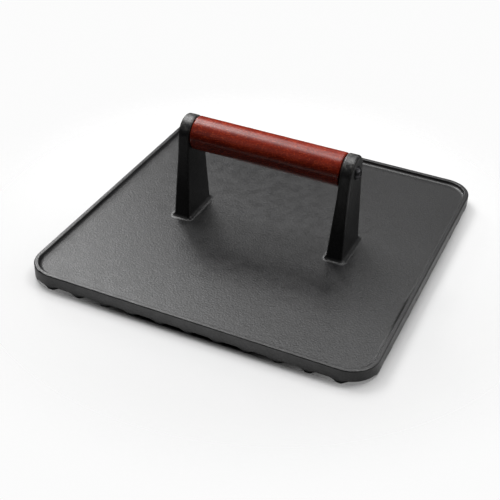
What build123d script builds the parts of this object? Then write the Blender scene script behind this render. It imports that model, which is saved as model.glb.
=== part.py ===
"""Cast-iron grill press: a rimmed square plate, two cast posts and a turning wood grip.

Millimetres. The origin is the centre of the footprint, +Z is up, +X runs along the grip
and -Y is the front.
"""

from build123d import *
from math import acos, asin, atan2, cos, degrees, hypot, sin, sqrt
import os

os.makedirs("parts", exist_ok=True)

# Plate
plate_size = 222.0
corner_radius = 18.0
web_thickness = 5.2
rim_width = 2.8
rim_depth = 2.6
rim_wall_draft = 12.0
rim_foot_radius = 2.2
rim_edge_radius = 0.7
skirt_edge_radius = 0.5

# Ribs under the plate, laid on the diagonal
rib_depth = 2.7
rib_edge_pitch = 18.5
rib_root_width = 3.6
rib_foot_width = 2.2
rib_root_radius = 1.2
rib_foot_radius = 0.4
rib_end_height = 2.2
rib_end_draft = 20.0
rib_embed = 1.2

# Grip and the hand space under it
grip_diameter = 21.6
grip_length = 99.8
grip_end_radius = 1.0
grip_end_gap = 0.4
finger_gap = 46.15

# Posts, cast in one with the plate
eye_margin = 0.2
eye_thickness = 7.8
post_base_width = 31.2
post_inner_flare = 2.5
post_outer_flare = 0.9
post_blend_radius = 160.0
post_edge_radius = 1.6
post_foot_radius = 3.0
post_embed = 2.0

# Spindle inside the grip and the screw at each end of it
spindle_diameter = 8.0
spindle_chamfer = 0.4
running_clearance = 0.06
screw_diameter = 5.0
screw_length = 18.0
screw_tip_chamfer = 0.6
screw_hole_clearance = 0.25
thread_clearance = 0.05
thread_depth = 14.0
head_diameter = 8.6
head_height = 3.0
head_band = 0.5
recess_width = 0.9
recess_span = 3.8
recess_depth = 1.7
recess_draft = 8.0

# Stock left past a face before it is cut to shape, and how near a picked edge or corner must be
stock_margin = 1.0
pick_tolerance = 0.01

# Heights and places that follow from the sizes above
floor_z = rib_depth + web_thickness
plate_height = floor_z + rim_depth
axis_z = floor_z + finger_gap + grip_diameter / 2
eye_radius = grip_diameter / 2 + eye_margin
eye_start_z = axis_z - eye_radius
spindle_length = grip_length + 2 * grip_end_gap
eye_inner_x = spindle_length / 2
eye_outer_x = eye_inner_x + eye_thickness
base_inner_x = eye_inner_x - post_inner_flare
base_outer_x = eye_outer_x + post_outer_flare
rib_spacing = rib_edge_pitch / sqrt(2)
diagonal_reach = (plate_size / 2 - corner_radius) * sqrt(2) + corner_radius
ribs_each_side = int((diagonal_reach - rib_root_width) / rib_spacing)
grip_axis = Axis((0, 0, axis_z), (1, 0, 0))

# The straight side of a post touches its round eye at this angle above the grip axis
eye_height = axis_z - floor_z
half_foot = post_base_width / 2
tangent_angle = acos(eye_radius / hypot(half_foot, eye_height)) - atan2(eye_height, half_foot)
tangent_y = eye_radius * cos(tangent_angle)
tangent_z = axis_z + eye_radius * sin(tangent_angle)

# A post's four sides run on at their own slopes to its root inside the web
root_z = floor_z - post_embed
half_root = half_foot + post_embed * (half_foot - tangent_y) / (tangent_z - floor_z)
root_inner_x = base_inner_x - post_embed * post_inner_flare / (eye_start_z - floor_z)
root_outer_x = base_outer_x + post_embed * post_outer_flare / (eye_start_z - floor_z)

# One rib's section, with a strip above it that sinks into the web
with BuildSketch() as rib_section:
    strip_half = rib_root_width / 2 + rib_root_radius
    with BuildLine():
        Polyline(
            (-strip_half, rib_depth + rib_embed),
            (-strip_half, rib_depth),
            (-rib_root_width / 2, rib_depth),
            (-rib_foot_width / 2, 0),
            (rib_foot_width / 2, 0),
            (rib_root_width / 2, rib_depth),
            (strip_half, rib_depth),
            (strip_half, rib_depth + rib_embed),
            close=True,
        )
    make_face()
    foot_corners = rib_section.vertices().group_by(Axis.Y)[0]
    fillet(foot_corners, rib_foot_radius)
    root_corners = rib_section.vertices().filter_by(
        lambda v: abs(abs(v.X) - rib_root_width / 2) < pick_tolerance
        and abs(v.Y - rib_depth) < pick_tolerance
    )
    fillet(root_corners, rib_root_radius)

# The space that the ribs may fill: the plate's outline, drawn in below the rib ends
with BuildPart() as rib_envelope:
    with BuildSketch(Plane.XY.offset(rib_end_height)):
        RectangleRounded(plate_size, plate_size, corner_radius)
    extrude(amount=rib_depth + rib_embed - rib_end_height)
    with BuildSketch(Plane.XY.offset(rib_end_height)):
        RectangleRounded(plate_size, plate_size, corner_radius)
    extrude(amount=-rib_end_height, taper=rib_end_draft)

with BuildPart() as ribs:
    with BuildSketch(Plane(origin=(0, 0, 0), x_dir=(1, -1, 0), z_dir=(-1, -1, 0))):
        with GridLocations(rib_spacing, 1, 2 * ribs_each_side + 1, 1):
            add(rib_section.sketch)
    extrude(amount=plate_size, both=True)
    add(rib_envelope.part, mode=Mode.INTERSECT)

# One post: a tapered slab with a round eye, thinner at the eye than at its foot
with BuildPart() as post:
    with BuildSketch(Plane.YZ):
        with BuildLine():
            sides = Polyline(
                (tangent_y, tangent_z),
                (half_root, root_z),
                (-half_root, root_z),
                (-tangent_y, tangent_z),
            )
            ThreePointArc(sides @ 1, (0, axis_z + eye_radius), sides @ 0)
        make_face()
    extrude(amount=root_outer_x + stock_margin)
    with BuildSketch(Plane.XZ) as post_thickness:
        top_z = axis_z + eye_radius + stock_margin
        with BuildLine():
            Polyline(
                (root_inner_x, root_z),
                (eye_inner_x, eye_start_z),
                (eye_inner_x, top_z),
                (eye_outer_x, top_z),
                (eye_outer_x, eye_start_z),
                (root_outer_x, root_z),
                close=True,
            )
        make_face()
        fillet(
            post_thickness.vertices().filter_by(
                lambda v: abs(v.Y - eye_start_z) < pick_tolerance
            ),
            post_blend_radius,
        )
    extrude(amount=post_base_width, both=True, mode=Mode.INTERSECT)
    post_rims = post.edges() - post.edges().filter_by(Axis.X) - post.edges().filter_by(Axis.Y)
    fillet(post_rims, post_edge_radius)

with BuildPart() as press_body:
    with BuildSketch(Plane.XY.offset(rib_depth)):
        RectangleRounded(plate_size, plate_size, corner_radius)
    extrude(amount=plate_height - rib_depth)
    fillet(press_body.edges().group_by(Axis.Z)[0], skirt_edge_radius)
    with BuildSketch(Plane.XY.offset(plate_height)):
        RectangleRounded(
            plate_size - 2 * rim_width,
            plate_size - 2 * rim_width,
            corner_radius - rim_width,
        )
    extrude(amount=-rim_depth, taper=rim_wall_draft, mode=Mode.SUBTRACT)
    tray_floor = press_body.faces().filter_by(Plane.XY).sort_by(Axis.Z)[1]
    fillet(tray_floor.edges(), rim_foot_radius)
    fillet(press_body.faces().sort_by(Axis.Z)[-1].edges(), rim_edge_radius)
    add(ribs.part)
    add(post.part)
    mirror(post.part, about=Plane.YZ)
    reach_x = base_outer_x + pick_tolerance
    reach_y = half_foot + pick_tolerance
    post_feet = (
        press_body.edges()
        .filter_by_position(Axis.Z, floor_z - pick_tolerance, floor_z + pick_tolerance)
        .filter_by_position(Axis.Y, -reach_y, reach_y)
        .filter_by_position(Axis.X, -reach_x, reach_x)
    )
    fillet(post_feet, post_foot_radius)
    with BuildSketch(Plane.YZ):
        with Locations((0, axis_z)):
            Circle(screw_diameter / 2 + screw_hole_clearance)
    extrude(amount=base_outer_x, both=True, mode=Mode.SUBTRACT)
press_body.part.label = "press_body"

with BuildPart() as wood_grip:
    with BuildSketch(Plane.YZ):
        with Locations((0, axis_z)):
            Circle(grip_diameter / 2)
            Circle(spindle_diameter / 2 + running_clearance, mode=Mode.SUBTRACT)
    extrude(amount=grip_length / 2, both=True)
    outer_ends = wood_grip.edges().filter_by(
        lambda e: e.geom_type == GeomType.CIRCLE
        and abs(e.radius - grip_diameter / 2) < pick_tolerance
    )
    fillet(outer_ends, grip_end_radius)
wood_grip.part.label = "wood_grip"

with BuildPart() as grip_spindle:
    with BuildSketch(Plane.YZ):
        with Locations((0, axis_z)):
            Circle(spindle_diameter / 2)
    extrude(amount=spindle_length / 2, both=True)
    outer_ends = grip_spindle.edges().filter_by(GeomType.CIRCLE)
    chamfer(outer_ends, spindle_chamfer)
    for end_face in grip_spindle.faces().filter_by(Axis.X):
        with Locations(end_face):
            Hole(screw_diameter / 2 + thread_clearance, depth=thread_depth)
grip_spindle.part.label = "grip_spindle"

# The right screw: round head, shank through the eye, thread in the spindle
dome_height = head_height - head_band
dome_radius = ((head_diameter / 2) ** 2 + dome_height**2) / (2 * dome_height)
head_top_x = eye_outer_x + head_height
screw_tip_x = eye_outer_x - screw_length
with BuildPart() as screw_right:
    with BuildSketch(Plane.XZ):
        with BuildLine():
            Polyline(
                (head_top_x, axis_z),
                (screw_tip_x, axis_z),
                (screw_tip_x, axis_z + screw_diameter / 2 - screw_tip_chamfer),
                (screw_tip_x + screw_tip_chamfer, axis_z + screw_diameter / 2),
                (eye_outer_x, axis_z + screw_diameter / 2),
                (eye_outer_x, axis_z + head_diameter / 2),
                (eye_outer_x + head_band, axis_z + head_diameter / 2),
            )
            CenterArc(
                (head_top_x - dome_radius, axis_z),
                dome_radius,
                0,
                degrees(asin(head_diameter / 2 / dome_radius)),
            )
        make_face()
    revolve(axis=grip_axis)
    with BuildSketch(Plane.YZ.offset(head_top_x)):
        with Locations((0, axis_z)):
            Rectangle(recess_span, recess_width)
            Rectangle(recess_width, recess_span)
    extrude(amount=-recess_depth, taper=recess_draft, mode=Mode.SUBTRACT)
screw_right.part.label = "screw_right"

with BuildPart() as screw_left:
    mirror(screw_right.part, about=Plane.YZ)
screw_left.part.label = "screw_left"

export_step(press_body.part, "parts/press_body.step")
export_step(wood_grip.part, "parts/wood_grip.step")
export_step(grip_spindle.part, "parts/grip_spindle.step")
export_step(screw_right.part, "parts/screw_right.step")
export_step(screw_left.part, "parts/screw_left.step")

print("overall height", axis_z + eye_radius, "grip axis", axis_z, "floor", floor_z)
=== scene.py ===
"""Dresses the grill press for its picture.

The casting gets a seasoned iron skin, the grip a red-brown stain under clear lacquer, and
the screws a black finish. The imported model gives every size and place, in metres. A turned
grip made here stands for the plain one. The casting, the spindle and the screws keep their
own shapes.
"""

from functools import cached_property
from math import cos, pi, radians, sin

import bmesh
import bpy
from bpy.props import FloatProperty, FloatVectorProperty, IntProperty, PointerProperty
from mathutils import Matrix, Vector


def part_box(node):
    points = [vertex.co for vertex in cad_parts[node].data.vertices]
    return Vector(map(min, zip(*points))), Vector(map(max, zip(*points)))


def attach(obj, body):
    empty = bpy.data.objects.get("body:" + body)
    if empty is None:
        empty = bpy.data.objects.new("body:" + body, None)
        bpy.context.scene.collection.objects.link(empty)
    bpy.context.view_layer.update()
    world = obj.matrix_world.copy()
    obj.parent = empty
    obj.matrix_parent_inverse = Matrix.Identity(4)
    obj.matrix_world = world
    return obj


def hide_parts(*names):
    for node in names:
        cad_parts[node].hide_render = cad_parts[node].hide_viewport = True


bl_info = {
    "name": "Grill press finish",
    "version": (1, 0, 0),
    "blender": (4, 5, 0),
    "location": "3D View > Sidebar > Grill press",
    "description": "Gives the grill press its iron, wood and steel finishes and a studio",
    "category": "Object",
}

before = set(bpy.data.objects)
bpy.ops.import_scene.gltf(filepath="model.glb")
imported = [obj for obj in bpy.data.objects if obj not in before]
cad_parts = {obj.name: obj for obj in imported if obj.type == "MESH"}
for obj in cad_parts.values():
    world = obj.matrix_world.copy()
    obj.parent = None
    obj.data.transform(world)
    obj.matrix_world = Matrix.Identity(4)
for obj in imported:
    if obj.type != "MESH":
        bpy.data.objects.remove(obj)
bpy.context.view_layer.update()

PLATE_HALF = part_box("press_body")[1].x
GRIP_LOW, GRIP_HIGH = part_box("wood_grip")
GRIP_RADIUS = (GRIP_HIGH.z - GRIP_LOW.z) / 2
GRIP_AXIS = Vector((0, 0, (GRIP_HIGH.z + GRIP_LOW.z) / 2))
SPINDLE_LOW, SPINDLE_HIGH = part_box("grip_spindle")
RUNNING_CLEARANCE = 0.00006
BORE_RADIUS = (SPINDLE_HIGH.z - SPINDLE_LOW.z) / 2 + RUNNING_CLEARANCE


def colour_property(name, description, default):
    return FloatVectorProperty(
        name=name,
        description=description,
        subtype="COLOR",
        size=3,
        min=0,
        max=1,
        default=default,
    )


def length_property(name, description, default):
    return FloatProperty(
        name=name,
        description=description,
        subtype="DISTANCE",
        unit="LENGTH",
        min=0,
        default=default,
    )


def share_property(name, description, default):
    return FloatProperty(
        name=name, description=description, subtype="FACTOR", min=0, max=1, default=default
    )


def count_property(name, description, least, default):
    return IntProperty(name=name, description=description, min=least, default=default)


class IronSettings(bpy.types.PropertyGroup):
    """Colours and texture of the seasoned casting"""

    dark: colour_property("Dark", "Iron in the hollows", (0.01, 0.01, 0.0104))
    pale: colour_property("Pale", "Iron on the high spots", (0.032, 0.032, 0.0328))
    # Partly rubbed wear, partly a painted highlight: paler iron in patches on the eyes
    rubbed_and_highlight: colour_property("Rubbed", "Iron rubbed by handling", (0.13, 0.125, 0.115))
    grain: length_property("Sand grain", "Width of the smallest bumps", 0.0009)
    grain_depth: length_property("Grain depth", "Height of the smallest bumps", 0.000115)
    rubbed_and_highlight_patch: length_property("Patch", "Width of the rubbed patches on the eyes", 0.0035)
    swell: length_property("Swell", "Width of the slow waves in the skin", 0.016)
    swell_depth: length_property("Swell depth", "Height of the slow waves", 0.00008)
    roughness: share_property("Roughness", "Roughness of the seasoned skin", 0.4)


class WoodSettings(bpy.types.PropertyGroup):
    """Shape, colours and lacquer of the turned grip"""

    light: colour_property("Light", "Stain on the pale wood", (0.34, 0.026, 0.009))
    deep: colour_property("Deep", "Stain in the dark grain", (0.19, 0.013, 0.005))
    fleck: colour_property("Fleck", "Short pale flecks", (0.55, 0.085, 0.026))
    fleck_width: length_property("Fleck width", "Width of the smallest flecks", 0.0008)
    pore_depth: length_property("Pore depth", "Depth of the pores", 0.000012)
    lacquer: share_property("Lacquer roughness", "Roughness of the clear coat", 0.29)
    arris: length_property("Arris", "Radius of the softened ends", 0.001)
    arris_steps: count_property("Arris steps", "Faces across a softened end", 1, 5)
    wobble: length_property("Wobble", "How far the turned surface wanders", 0.00003)
    steps: count_property("Steps", "Faces round the grip", 12, 96)
    rings: count_property("Rings", "Cuts along the grip", 1, 48)


class SteelSettings(bpy.types.PropertyGroup):
    """Colours and texture of the spindle and the screws"""

    spindle: colour_property("Spindle", "Turned steel", (0.42, 0.42, 0.43))
    oxide: colour_property("Oxide", "Blackened screw", (0.07, 0.069, 0.074))
    bare: colour_property("Bare", "Steel where the black is worn off", (0.3, 0.3, 0.31))
    mark: length_property("Lathe mark", "Width of the spindle's lathe marks", 0.00015)
    mark_depth: length_property("Mark depth", "Depth of the lathe marks", 0.00001)
    stain: length_property("Stain", "Width of the stains on the spindle", 0.003)
    speck: length_property("Speck", "Width of the specks in the black", 0.0005)
    speck_depth: length_property("Speck depth", "Height of the specks", 0.00003)
    worn: length_property("Worn", "Width of the worn places in the black", 0.0018)


class StudioSettings(bpy.types.PropertyGroup):
    """Colours and reach of the floor, and the room"""

    paper: colour_property("Paper", "The pale floor", (0.94, 0.94, 0.94))
    paper_roughness: share_property("Paper roughness", "Roughness of the floor", 0.9)
    paper_fade: length_property("Paper fade", "Where the floor starts to fade", 0.112)
    paper_end: length_property("Paper end", "Where the floor has faded out", 0.225)
    # Painted shadow: a dark colour on the floor right under the press stands in for its
    # contact shadow
    shade: colour_property("Shade", "Floor right under the press", (0.015, 0.015, 0.015))
    painted_shadow_corner: length_property("Shade corner", "Corner radius of that floor", 0.018)
    painted_shadow_edge: length_property("Shade edge", "How softly that floor ends", 0.0015)
    room: colour_property("Room", "The room, which gives no light", (0.97, 0.97, 0.97))


class Signal:
    """A socket of a finish. Arithmetic on it adds Math nodes."""

    def __init__(self, finish, socket):
        self.finish = finish
        self.socket = socket

    def math(self, operation, *values):
        return self.finish.node("Math", {"operation": operation}, dict(enumerate(values)))

    def __add__(self, other):
        return self.math("ADD", self, other)

    def __radd__(self, other):
        return self.math("ADD", other, self)

    def __sub__(self, other):
        return self.math("SUBTRACT", self, other)

    def __rsub__(self, other):
        return self.math("SUBTRACT", other, self)

    def __mul__(self, other):
        return self.math("MULTIPLY", self, other)

    def __rmul__(self, other):
        return self.math("MULTIPLY", other, self)


# A Mix node's sockets for colours have the names of its other kinds, so they go by number
MIX_SHARE, MIX_FIRST, MIX_SECOND, MIX_COLOUR = 0, 6, 7, 2


class Finish:
    """The nodes of a material, or of the room."""

    def __init__(self, owner):
        owner.use_nodes = True
        self.owner = owner
        self.tree = owner.node_tree
        self.tree.nodes.clear()

    @cached_property
    def place(self):
        """Where a point lies on its piece, in metres."""
        return self.node("TexCoord", {}, {}, "Object")

    def node(self, kind, settings, sockets, output=0):
        """Adds one node, gives it its settings, then its socket values or links."""
        made = self.tree.nodes.new("ShaderNode" + kind)
        for name, value in settings.items():
            setattr(made, name, value)
        for name, value in sockets.items():
            socket = made.inputs[name]
            if isinstance(value, Signal):
                self.tree.links.new(value.socket, socket)
            elif socket.type == "RGBA":
                socket.default_value = (*value, 1)
            else:
                socket.default_value = value
        return Signal(self, made.outputs[output]) if made.outputs else None

    def noise(self, width, detail=2.0, rough=0.5, stretch=(1, 1, 1)):
        """Cloudy noise with features of that width, in metres."""
        sockets = {"Vector": self.place, "Scale": stretch}
        stretched = self.node("Mapping", {"vector_type": "POINT"}, sockets)
        sockets = {
            "Vector": stretched,
            "Scale": 1 / width,
            "Detail": detail,
            "Roughness": rough,
        }
        return self.node("TexNoise", {}, sockets, "Fac")

    def pebbles(self, width, smooth=0.4):
        """Rounded cells of that width: 0 in the middle of a cell and rising outwards."""
        sockets = {"Vector": self.place, "Scale": 1 / width, "Smoothness": smooth}
        return self.node("TexVoronoi", {"feature": "SMOOTH_F1"}, sockets, "Distance")

    def between(self, value, given, wanted=(0.0, 1.0)):
        """Carries a value from one range to another, with a soft step held at both ends."""
        sockets = {
            "Value": value,
            "From Min": given[0],
            "From Max": given[1],
            "To Min": wanted[0],
            "To Max": wanted[1],
        }
        return self.node("MapRange", {"interpolation_type": "SMOOTHSTEP"}, sockets)

    def mix(self, share, first, second):
        """A colour between two others."""
        sockets = {MIX_SHARE: share, MIX_FIRST: first, MIX_SECOND: second}
        return self.node("Mix", {"data_type": "RGBA"}, sockets, MIX_COLOUR)

    def vector(self, operation, *values, output="Vector"):
        """One step of arithmetic on vectors."""
        settings = {"operation": operation}
        return self.node("VectorMath", settings, dict(enumerate(values)), output)

    def relief(self, height, depth=1.0):
        """The direction of a surface that rises by a height, times a depth in metres."""
        return self.node("Bump", {}, {"Height": height, "Distance": depth, "Strength": 1.0})

    def surface(self, sockets):
        """The finished shader, joined to the material's output."""
        shader = self.node("BsdfPrincipled", {}, sockets)
        self.node("OutputMaterial", {}, {"Surface": shader})
        return self.owner


# Ranges of a pattern: all of it, and the part where most of a noise lies
WHOLE = (0.0, 1.0)
MOST = (0.3, 0.7)

# The iron: widths in grain or swell widths, parts of its patterns, where it is rubbed and
# given a painted highlight
PEBBLE_WIDTH = 1.3
PEBBLE_SHARE = 0.65
HIGH_SPOTS = (0.4, 0.8)
BLOTCH_WIDTH = 0.5
BLOTCH_SHADES = (0.55, 1.0)
ROUGHNESS_SPREAD = 0.05
IRON_GLOSS = 0.8
RUBBED_AND_HIGHLIGHT_HEIGHTS = (GRIP_AXIS.z + 0.002, GRIP_AXIS.z + 0.8 * GRIP_RADIUS)
RUBBED_AND_HIGHLIGHT_PATCHES = (0.47, 0.6)
RUBBED_AND_HIGHLIGHT_HOLLOWS = 0.4


def seasoned_iron(settings):
    """Sand-cast iron, oiled and baked: a fine pebbled skin, paler on the eyes from rubbing
    and a painted highlight.
    """
    finish = Finish(bpy.data.materials.new("seasoned_iron"))
    grain = finish.noise(settings.grain, detail=3.0, rough=0.65)
    pebble = finish.pebbles(settings.grain * PEBBLE_WIDTH)
    blotch = finish.noise(settings.swell * BLOTCH_WIDTH, detail=4.0, rough=0.6)
    swell = finish.noise(settings.swell, detail=1.0)
    skin = (1 - PEBBLE_SHARE) * grain + PEBBLE_SHARE * (1 - pebble)
    high = finish.between(skin, HIGH_SPOTS)
    height = skin * settings.grain_depth + swell * settings.swell_depth

    level = finish.node("SeparateXYZ", {}, {"Vector": finish.place}, "Z")
    # Rubbed wear and a painted highlight: paler iron in patches on the eyes, above the
    # grip's axis
    rubbed_and_highlight_patch = finish.between(
        finish.noise(settings.rubbed_and_highlight_patch, detail=4.0, rough=0.65), RUBBED_AND_HIGHLIGHT_PATCHES
    )
    worn = finish.between(level, RUBBED_AND_HIGHLIGHT_HEIGHTS) * rubbed_and_highlight_patch
    worn = worn * (RUBBED_AND_HIGHLIGHT_HOLLOWS + (1 - RUBBED_AND_HIGHLIGHT_HOLLOWS) * high)

    shade = high * finish.between(blotch, MOST, BLOTCH_SHADES)
    colour = finish.mix(shade, settings.dark, settings.pale)
    dull = settings.roughness + ROUGHNESS_SPREAD
    bright = settings.roughness - ROUGHNESS_SPREAD
    return finish.surface(
        {
            "Base Color": finish.mix(worn, colour, settings.rubbed_and_highlight),
            "Roughness": finish.between(blotch, MOST, (dull, bright)),
            "Specular IOR Level": IRON_GLOSS,
            "Normal": finish.relief(height),
        }
    )


# The wood: widths in fleck widths, a depth in pore depths, shares and parts of its patterns
STREAK_WIDTH = 3
CLOUD_WIDTH = 9
CLOUD_DEPTH = 3
STREAK_SHARE = 0.3
CLOUD_SHARE = 0.3
MOTTLE_SHARE = 0.4
STAINED = (0.36, 0.64)
FLECKED = (0.53, 0.68)
FLECK_SHARE = 0.7
WOOD_ROUGHNESS = (0.6, 0.5)


def lacquered_wood(settings):
    """Stained close-grained wood under clear lacquer, with short flecks along the grip."""
    finish = Finish(bpy.data.materials.new("lacquered_wood"))
    width = settings.fleck_width
    streak = finish.noise(width * STREAK_WIDTH, stretch=(0.4, 1, 1))
    cloud = finish.noise(width * CLOUD_WIDTH, stretch=(0.6, 1, 1))
    mottle = finish.noise(width, rough=0.6, stretch=(0.7, 1, 1))
    grain = STREAK_SHARE * streak + CLOUD_SHARE * cloud + MOTTLE_SHARE * mottle
    colour = finish.mix(finish.between(grain, STAINED), settings.deep, settings.light)
    fleck = finish.between(mottle, FLECKED) * FLECK_SHARE
    depth = settings.pore_depth
    height = mottle * depth + cloud * (depth * CLOUD_DEPTH)
    return finish.surface(
        {
            "Base Color": finish.mix(fleck, colour, settings.fleck),
            "Roughness": finish.between(mottle, MOST, WOOD_ROUGHNESS),
            "Specular IOR Level": 0.0,
            "Normal": finish.relief(height),
            "Coat Weight": 1.0,
            "Coat Roughness": settings.lacquer,
        }
    )


# The steel: the parts of its patterns, how strongly they show, and what they range over
STAINS = (0.4, 0.65)
STAIN_SHARE = 0.5
SPINDLE_ROUGHNESS = (0.28, 0.42)
WORN_PLACES = (0.56, 0.72)
WORN_SHARE = 0.5
OXIDE_METALLIC = (0.7, 0.9)
OXIDE_ROUGHNESS = (0.28, 0.4)


def turned_steel(settings):
    """Bright steel with fine lathe marks round the axis."""
    finish = Finish(bpy.data.materials.new("turned_steel"))
    marks = finish.noise(settings.mark, stretch=(1, 0.02, 0.02))
    stain = finish.between(finish.noise(settings.stain, detail=3.0), STAINS)
    return finish.surface(
        {
            "Base Color": finish.mix(stain * STAIN_SHARE, settings.spindle, settings.bare),
            "Metallic": 1.0,
            "Roughness": finish.between(stain, WHOLE, SPINDLE_ROUGHNESS),
            "Normal": finish.relief(marks, settings.mark_depth),
        }
    )


def black_oxide(settings):
    """Blackened steel, with the black rubbed thin in places."""
    finish = Finish(bpy.data.materials.new("black_oxide"))
    speck = finish.noise(settings.speck, detail=3.0, rough=0.6)
    thin = finish.between(finish.noise(settings.worn, detail=3.0, rough=0.6), WORN_PLACES)
    return finish.surface(
        {
            "Base Color": finish.mix(thin * WORN_SHARE, settings.oxide, settings.bare),
            "Metallic": finish.between(thin, WHOLE, OXIDE_METALLIC),
            "Roughness": finish.between(speck, MOST, OXIDE_ROUGHNESS),
            "Normal": finish.relief(speck, settings.speck_depth),
        }
    )


def studio_paper(settings):
    """Pale paper that fades into the room, with a painted shadow: dark right under the
    press.
    """
    finish = Finish(bpy.data.materials.new("studio_paper"))
    # Painted shadow: the floor takes the dark colour inside the press's rounded footprint,
    # with a soft edge
    core = PLATE_HALF - settings.painted_shadow_corner
    outward = finish.vector("ABSOLUTE", finish.place)
    past_core = finish.vector("SUBTRACT", outward, [core] * 3)
    past_core = finish.vector("MAXIMUM", past_core, [0] * 3)
    from_core = finish.vector("LENGTH", past_core, output="Value")
    painted_shadow_ends = (settings.painted_shadow_corner - settings.painted_shadow_edge, settings.painted_shadow_corner)
    painted_shadow_mask = finish.between(from_core, painted_shadow_ends, (1.0, 0.0))
    from_middle = finish.vector("LENGTH", finish.place, output="Value")
    paper_ends = (settings.paper_fade, settings.paper_end)
    return finish.surface(
        {
            "Base Color": finish.mix(painted_shadow_mask, settings.paper, settings.shade),
            "Roughness": settings.paper_roughness,
            "Alpha": finish.between(from_middle, paper_ends, (1.0, 0.0)),
        }
    )


def pale_room(settings):
    """A room that the camera sees and that gives no light."""
    finish = Finish(bpy.data.worlds.new("studio_room"))
    seen = finish.node("LightPath", {}, {}, "Is Camera Ray")
    wall = finish.node("Background", {}, {"Color": settings.room, "Strength": seen})
    finish.node("OutputWorld", {}, {"Surface": wall})
    return finish.owner


def dress(node_name, material):
    """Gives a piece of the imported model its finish."""
    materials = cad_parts[node_name].data.materials
    materials.clear()
    materials.append(material)


def add_object(name, data):
    """Puts a new object with that data in the scene."""
    made = bpy.data.objects.new(name, data)
    bpy.context.scene.collection.objects.link(made)
    return made


def add_mesh(bm, name, material):
    """Puts a bmesh in the scene, as an object with that material."""
    mesh = bpy.data.meshes.new(name)
    bm.to_mesh(mesh)
    bm.free()
    mesh.materials.append(material)
    return add_object(name, mesh)


# Points nearer than this touch, in metres
TOUCHING = 1e-6


def finish_piece(bm, name, material, body, slot_name, *replaced):
    """Turns a bmesh into a piece that rides on a body and stands for plain ones."""
    bmesh.ops.remove_doubles(bm, verts=bm.verts, dist=TOUCHING)
    bmesh.ops.recalc_face_normals(bm, faces=bm.faces)
    piece = add_mesh(bm, name, material)
    piece.data.shade_smooth()
    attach(piece, body)
    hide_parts(*replaced)


# A point past this share of the grip's radius is on its outside
OUTSIDE_SHARE = 0.99

# The waves along the turned grip: radians in a metre, height and start
WAVES = ((330, 1.0, 0.0), (790, 0.6, 1.3))


def off_axis(point):
    """The way from the grip's axis straight out to a point."""
    return point - Vector((point.x, 0, GRIP_AXIS.z))


def turn_blank(bm, steps, rings):
    """Turns a bored cylinder and cuts it into rings of faces."""
    corners = [
        (GRIP_LOW.x, BORE_RADIUS),
        (GRIP_LOW.x, GRIP_RADIUS),
        (GRIP_HIGH.x, GRIP_RADIUS),
        (GRIP_HIGH.x, BORE_RADIUS),
    ]
    profile = [bm.verts.new(GRIP_AXIS + Vector((x, 0, radius))) for x, radius in corners]
    sides = [bm.edges.new(ends) for ends in zip(profile, profile[1:] + profile[:1])]
    bmesh.ops.spin(
        bm,
        geom=profile + sides,
        cent=GRIP_AXIS,
        axis=(1, 0, 0),
        angle=2 * pi,
        steps=steps,
        use_merge=True,
    )
    bmesh.ops.remove_doubles(bm, verts=bm.verts, dist=TOUCHING)
    long_edges = [
        edge
        for edge in bm.edges
        if abs(edge.verts[0].co.x - edge.verts[1].co.x) > GRIP_RADIUS
    ]
    bmesh.ops.subdivide_edges(bm, edges=long_edges, cuts=rings, use_grid_fill=True)


def soften_ends(bm, arris, faces):
    """Rounds the outer edge of both ends."""

    def on_rim(vert):
        from_end = min(vert.co.x - GRIP_LOW.x, GRIP_HIGH.x - vert.co.x)
        outside = off_axis(vert.co).length > OUTSIDE_SHARE * GRIP_RADIUS
        return outside and from_end < TOUCHING

    bmesh.ops.bevel(
        bm,
        geom=[edge for edge in bm.edges if all(on_rim(vert) for vert in edge.verts)],
        offset=arris,
        offset_type="OFFSET",
        affect="EDGES",
        segments=faces,
        profile=0.5,
        material=-1,
        clamp_overlap=True,
    )


def let_wander(bm, wobble):
    """Draws the outer surface in by slow waves, as hand turning leaves it."""
    crest = sum(height for rate, height, start in WAVES)
    for vert in bm.verts:
        away = off_axis(vert.co)
        if away.length > GRIP_RADIUS / 2:
            x = vert.co.x
            wave = sum(height * sin(x * rate + start) for rate, height, start in WAVES)
            inset = wobble * (crest - wave) / crest
            vert.co -= away.normalized() * inset


class PRESS_OT_casting(bpy.types.Operator):
    """Gives the casting its seasoned iron skin"""

    bl_idname = "press.casting"
    bl_label = "Finish the casting"

    def execute(self, context):
        dress("press_body", seasoned_iron(context.scene.press_iron))
        return {"FINISHED"}


class PRESS_OT_grip(bpy.types.Operator):
    """Turns the wooden grip and lacquers it"""

    bl_idname = "press.grip"
    bl_label = "Turn the grip"

    def execute(self, context):
        settings = context.scene.press_wood
        bm = bmesh.new()
        turn_blank(bm, settings.steps, settings.rings)
        soften_ends(bm, settings.arris, settings.arris_steps)
        let_wander(bm, settings.wobble)
        wood = lacquered_wood(settings)
        finish_piece(bm, "turned_grip", wood, "grip", "grip_wood", "wood_grip")
        return {"FINISHED"}


class PRESS_OT_steel(bpy.types.Operator):
    """Gives the spindle and the screws their steel finishes"""

    bl_idname = "press.steel"
    bl_label = "Finish the steel"

    def execute(self, context):
        settings = context.scene.press_steel
        dress("grip_spindle", turned_steel(settings))
        black = black_oxide(settings)
        for name in ("screw_right", "screw_left"):
            dress(name, black)
        return {"FINISHED"}


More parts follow.
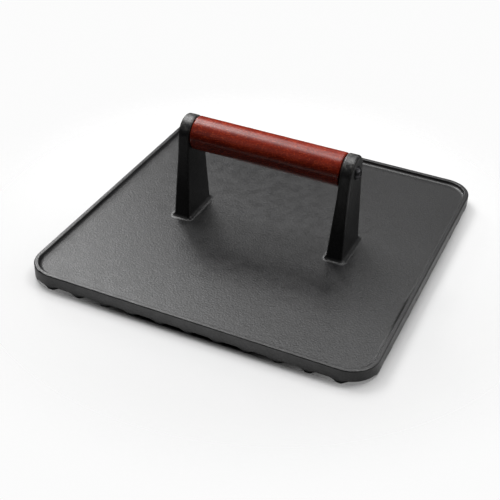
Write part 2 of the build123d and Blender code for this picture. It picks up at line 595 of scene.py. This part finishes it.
# Each softbox: its centre, its width and height, and its watts
SOFTBOXES = {
    "left_bank": ((-0.65, 0.2, 0.95), (0.3, 0.4), 3.8),
    "left_bank_rear": ((-0.6, 0.5, 0.8), (0.3, 0.35), 1.85),
    "overhead": ((-0.1, 0.0, 1.0), (0.3, 0.3), 1.25),
    "overhead_left": ((-0.35, 0.2, 0.95), (0.3, 0.4), 1.3),
    "overhead_left_rear": ((-0.35, 0.5, 0.8), (0.3, 0.35), 0.86),
    "overhead_rear": ((0.0, 0.5, 0.8), (0.3, 0.35), 0.98),
    "overhead_right": ((0.3, 0.2, 0.95), (0.3, 0.4), 2.5),
    "key_back_left": ((-1.0, 0.9, 0.45), (0.3, 0.35), 2.8),
    "rim_left": ((-0.7, 0.9, 0.45), (0.3, 0.3), 0.2),
    "rim_back": ((-0.1, 0.9, 0.45), (0.3, 0.3), 0.2),
    "fill_front": ((-0.6, -0.8, 0.7), (0.6, 0.6), 0.32),
    "fill_right": ((0.9, 0.0, 0.6), (0.6, 0.6), 0.65),
    "fill_right_rear": ((0.9, 0.5, 0.5), (0.5, 0.5), 1.3),
}

CAMERA_AZIMUTH = radians(21.69)
CAMERA_ELEVATION = radians(35.33)
CAMERA_ROLL = radians(3.16)
CAMERA_DISTANCE = 0.63034
CAMERA_TARGET = Vector((0.01885, -0.02467, 0.0105))
CAMERA_LENS = 72.356
CAMERA_SENSOR = 36
CAMERA_SHIFT = (-0.05396, 0.001)
CAMERA_NEAREST = 0.01


def hang_softboxes():
    """Hangs the softboxes, all facing the middle of the plate's foot."""
    for name, (centre, size, watts) in SOFTBOXES.items():
        lamp = bpy.data.lights.new(name, "AREA")
        lamp.shape = "RECTANGLE"
        lamp.size, lamp.size_y = size
        lamp.energy = watts
        light = add_object(name, lamp)
        light.location = centre
        light.rotation_euler = Vector(centre).to_track_quat("Z", "Y").to_euler()


def place_camera():
    """Puts the camera where the photograph was taken from."""
    back = Vector(
        (
            sin(CAMERA_AZIMUTH) * cos(CAMERA_ELEVATION),
            -cos(CAMERA_AZIMUTH) * cos(CAMERA_ELEVATION),
            sin(CAMERA_ELEVATION),
        )
    )
    across = Vector((0, 0, 1)).cross(back).normalized()
    right = Matrix.Rotation(CAMERA_ROLL, 3, back) @ across
    up = back.cross(right)
    turned = Matrix((right, up, back)).transposed().to_4x4()
    moved = Matrix.Translation(CAMERA_TARGET + back * CAMERA_DISTANCE)
    lens = bpy.data.cameras.new("studio_camera")
    lens.lens = CAMERA_LENS
    lens.sensor_width = CAMERA_SENSOR
    lens.shift_x, lens.shift_y = CAMERA_SHIFT
    lens.clip_start = CAMERA_NEAREST
    camera = add_object("studio_camera", lens)
    camera.matrix_world = moved @ turned
    return camera


class PRESS_OT_studio(bpy.types.Operator):
    """Sets up the floor, the lights, the room and the camera"""

    bl_idname = "press.studio"
    bl_label = "Set up the studio"

    def execute(self, context):
        settings = context.scene.press_studio
        bm = bmesh.new()
        bmesh.ops.create_grid(bm, x_segments=1, y_segments=1, size=settings.paper_end)
        floor = add_mesh(bm, "studio_floor", studio_paper(settings))
        hang_softboxes()
        context.scene.world = pale_room(settings)
        context.scene.view_settings.view_transform = "Standard"
        context.scene.camera = place_camera()
        return {"FINISHED"}


class PRESS_PT_sidebar(bpy.types.Panel):
    """Lists the sizes, colours and steps of the grill press"""

    bl_label = "Grill press"
    bl_idname = "PRESS_PT_sidebar"
    bl_space_type = "VIEW_3D"
    bl_region_type = "UI"
    bl_category = "Grill press"

    def draw(self, context):
        for group, operator in STEPS:
            box = self.layout.box()
            settings = getattr(context.scene, group)
            for name in settings.bl_rna.properties.keys():
                if name not in ("rna_type", "name"):
                    box.prop(settings, name)
            box.operator(operator)


GROUPS = {
    "press_iron": IronSettings,
    "press_wood": WoodSettings,
    "press_steel": SteelSettings,
    "press_studio": StudioSettings,
}
STEPS = (
    ("press_studio", "press.studio"),
    ("press_iron", "press.casting"),
    ("press_wood", "press.grip"),
    ("press_steel", "press.steel"),
)
CLASSES = (
    *GROUPS.values(),
    PRESS_OT_casting,
    PRESS_OT_grip,
    PRESS_OT_steel,
    PRESS_OT_studio,
    PRESS_PT_sidebar,
)


def register():
    for made in CLASSES:
        bpy.utils.register_class(made)
    for name, group in GROUPS.items():
        setattr(bpy.types.Scene, name, PointerProperty(type=group))


def unregister():
    for name in GROUPS:
        delattr(bpy.types.Scene, name)
    for made in reversed(CLASSES):
        bpy.utils.unregister_class(made)


def main():
    register()
    bpy.ops.press.studio()
    bpy.ops.press.casting()
    bpy.ops.press.grip()
    bpy.ops.press.steel()


if __name__ == "__main__":
    main()
